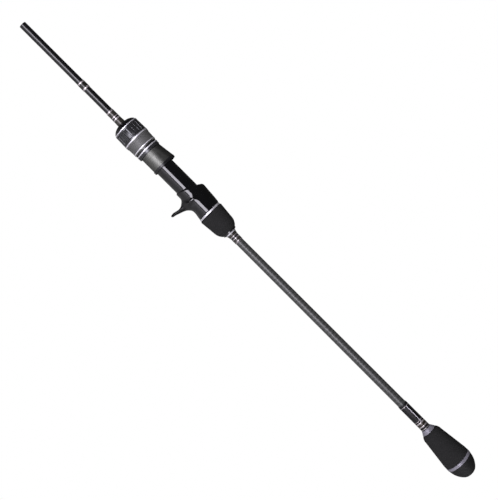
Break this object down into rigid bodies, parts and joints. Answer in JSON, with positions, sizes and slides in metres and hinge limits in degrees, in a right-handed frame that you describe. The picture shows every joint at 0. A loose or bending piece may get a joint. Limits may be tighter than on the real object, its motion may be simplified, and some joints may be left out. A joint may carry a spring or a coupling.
{
  "type": "trigger casting rod butt section",
  "caption": "Butt section of a trigger casting rod: carbon blank, trigger reel seat with a screw-down sliding hood, foam grips and a male ferrule for the tip section.",
  "frame": {"origin": "on the blank's axis, midway along the open deck between the two hoods of the reel seat, where the hand holds the rod", "axes": "+X along the blank to the butt, -X to the tip end, +Z to the reel side, -Z to the trigger side"},
  "size_m": [0.6346, 0.0292, 0.0463],
  "materials": {
    "carbon_blank": "satin clear coat over woven carbon cloth",
    "seat_gloss_black": "gloss black",
    "hard_plastic": "moulded black",
    "gunmetal": "gunmetal satin",
    "silver_trim": "bright silver",
    "nut_coated_black": "dark satin coat",
    "graphite_matte": "matte graphite",
    "foam_black": "closed cell foam, ground",
    "butt_rubber": "satin moulded rubber",
    "olive_thread": "thread under epoxy",
    "bronze_thread": "metallic thread under epoxy",
    "silver_thread": "metallic thread under epoxy",
    "black_thread": "thread under epoxy",
    "gold_thread": "metallic thread under epoxy"
  },
  "bodies": {
    "rod": {"blank": "carbon_blank", "butt_plug": "hard_plastic", "seat_body": "seat_gloss_black", "fixed_hood_insert": "hard_plastic", "seat_arbors": "hard_plastic", "seat_ring": "silver_trim", "rear_seat_grip": "foam_black", "grip_check": "seat_gloss_black", "grip_winding_check": "silver_trim", "front_wrap_thread": "olive_thread", "front_wrap_trims": "silver_thread", "seat_wrap_thread": "bronze_thread", "seat_wrap_trims": "silver_thread", "seat_wrap_black": "black_thread", "rear_wrap_thread": "bronze_thread", "rear_wrap_trims": "silver_thread", "rear_wrap_black": "black_thread", "label_sleeve": "black_thread", "label_rings": "silver_thread", "label_gold_band": "gold_thread", "butt_winding_check": "silver_trim", "butt_grip": "foam_black", "butt_ring": "silver_trim", "butt_cap": "butt_rubber"},
    "hood": {"hood_slider": "hard_plastic", "hood_shell": "gunmetal"},
    "nut": {"nut_core": "hard_plastic", "nut_front_cap": "seat_gloss_black", "nut_front_ring": "silver_trim", "nut_ribbed_sleeve": "nut_coated_black", "nut_middle_ring": "silver_trim", "nut_plain_sleeve": "graphite_matte", "nut_rear_ring": "silver_trim", "nut_knurled_ring": "gunmetal", "nut_tail_ring": "silver_trim", "nut_retainer": "graphite_matte", "thrust_washer": "hard_plastic"}
  },
  "joints": [
    {"name": "hood_slide", "type": "slide", "parent": "rod", "child": "hood", "axis": [1, 0, 0], "range_m": [-0.012, 0.008]},
    {"name": "nut_turn", "type": "hinge", "parent": "hood", "child": "nut", "pos_m": [-0.059, 0, 0], "axis": [1, 0, 0], "range_deg": [-1440, 960]}
  ],
  "couplings": [
    {"joint": "hood_slide", "follows": "nut_turn", "m_per_rad": 0.00047746}
  ]
}
